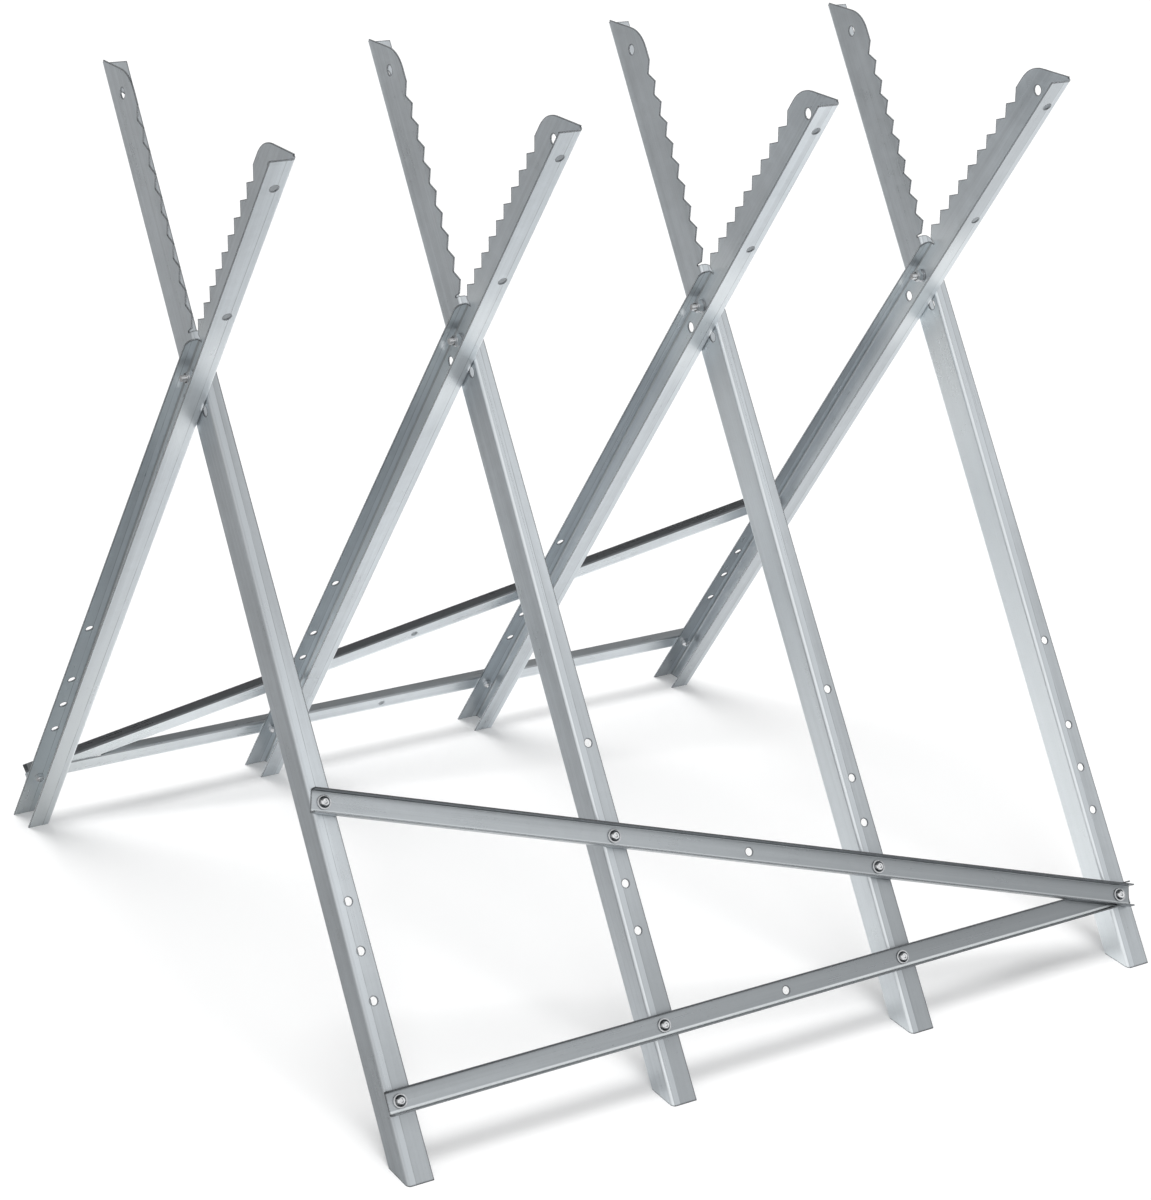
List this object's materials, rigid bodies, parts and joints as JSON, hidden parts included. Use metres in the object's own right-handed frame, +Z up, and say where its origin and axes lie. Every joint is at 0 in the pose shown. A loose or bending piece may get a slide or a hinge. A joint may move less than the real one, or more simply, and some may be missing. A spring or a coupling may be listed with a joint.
{
  "type": "folding log saw stand",
  "caption": "Folding sheet-steel log saw stand: a row of X-shaped frames with toothed jaws that cradle a log, tied along both sides by level and sloping channel braces.",
  "frame": {"origin": "on the floor, at the middle of the stand's footprint", "axes": "+X along the log from the first frame to the fourth, -Y to the front, +Z up"},
  "size_m": [0.7874, 0.7464, 0.7691],
  "materials": {
    "galvanised_sheet": "cool grey galvanised sheet with faint lengthwise streaks",
    "zinc_hardware": "bright zinc plate"
  },
  "bodies": {
    "front_half": {"front_arm_1": "galvanised_sheet", "front_arm_2": "galvanised_sheet", "front_arm_3": "galvanised_sheet", "front_arm_4": "galvanised_sheet", "front_lower_brace": "galvanised_sheet", "front_upper_brace": "galvanised_sheet", "pivot_bolt_1": "zinc_hardware", "pivot_bolt_2": "zinc_hardware", "pivot_bolt_3": "zinc_hardware", "pivot_bolt_4": "zinc_hardware", "pivot_nut_1": "zinc_hardware", "pivot_nut_2": "zinc_hardware", "pivot_nut_3": "zinc_hardware", "pivot_nut_4": "zinc_hardware", "pivot_washers_1": "zinc_hardware", "pivot_washers_2": "zinc_hardware", "pivot_washers_3": "zinc_hardware", "pivot_washers_4": "zinc_hardware", "front_lower_bolts": "zinc_hardware", "front_lower_washers": "zinc_hardware", "front_lower_nuts": "zinc_hardware", "front_upper_bolts": "zinc_hardware", "front_upper_washers": "zinc_hardware", "front_upper_nuts": "zinc_hardware"},
    "rear_half": {"rear_arm_1": "galvanised_sheet", "rear_arm_2": "galvanised_sheet", "rear_arm_3": "galvanised_sheet", "rear_arm_4": "galvanised_sheet", "rear_lower_brace": "galvanised_sheet", "rear_upper_brace": "galvanised_sheet", "rear_lower_bolts": "zinc_hardware", "rear_lower_washers": "zinc_hardware", "rear_lower_nuts": "zinc_hardware", "rear_upper_bolts": "zinc_hardware", "rear_upper_washers": "zinc_hardware", "rear_upper_nuts": "zinc_hardware"}
  },
  "joints": [
    {"name": "fold", "type": "hinge", "parent": "front_half", "child": "rear_half", "pos_m": [0, 0, 0.548], "axis": [-1, 0, 0], "range_deg": [0, 64.5]}
  ]
}
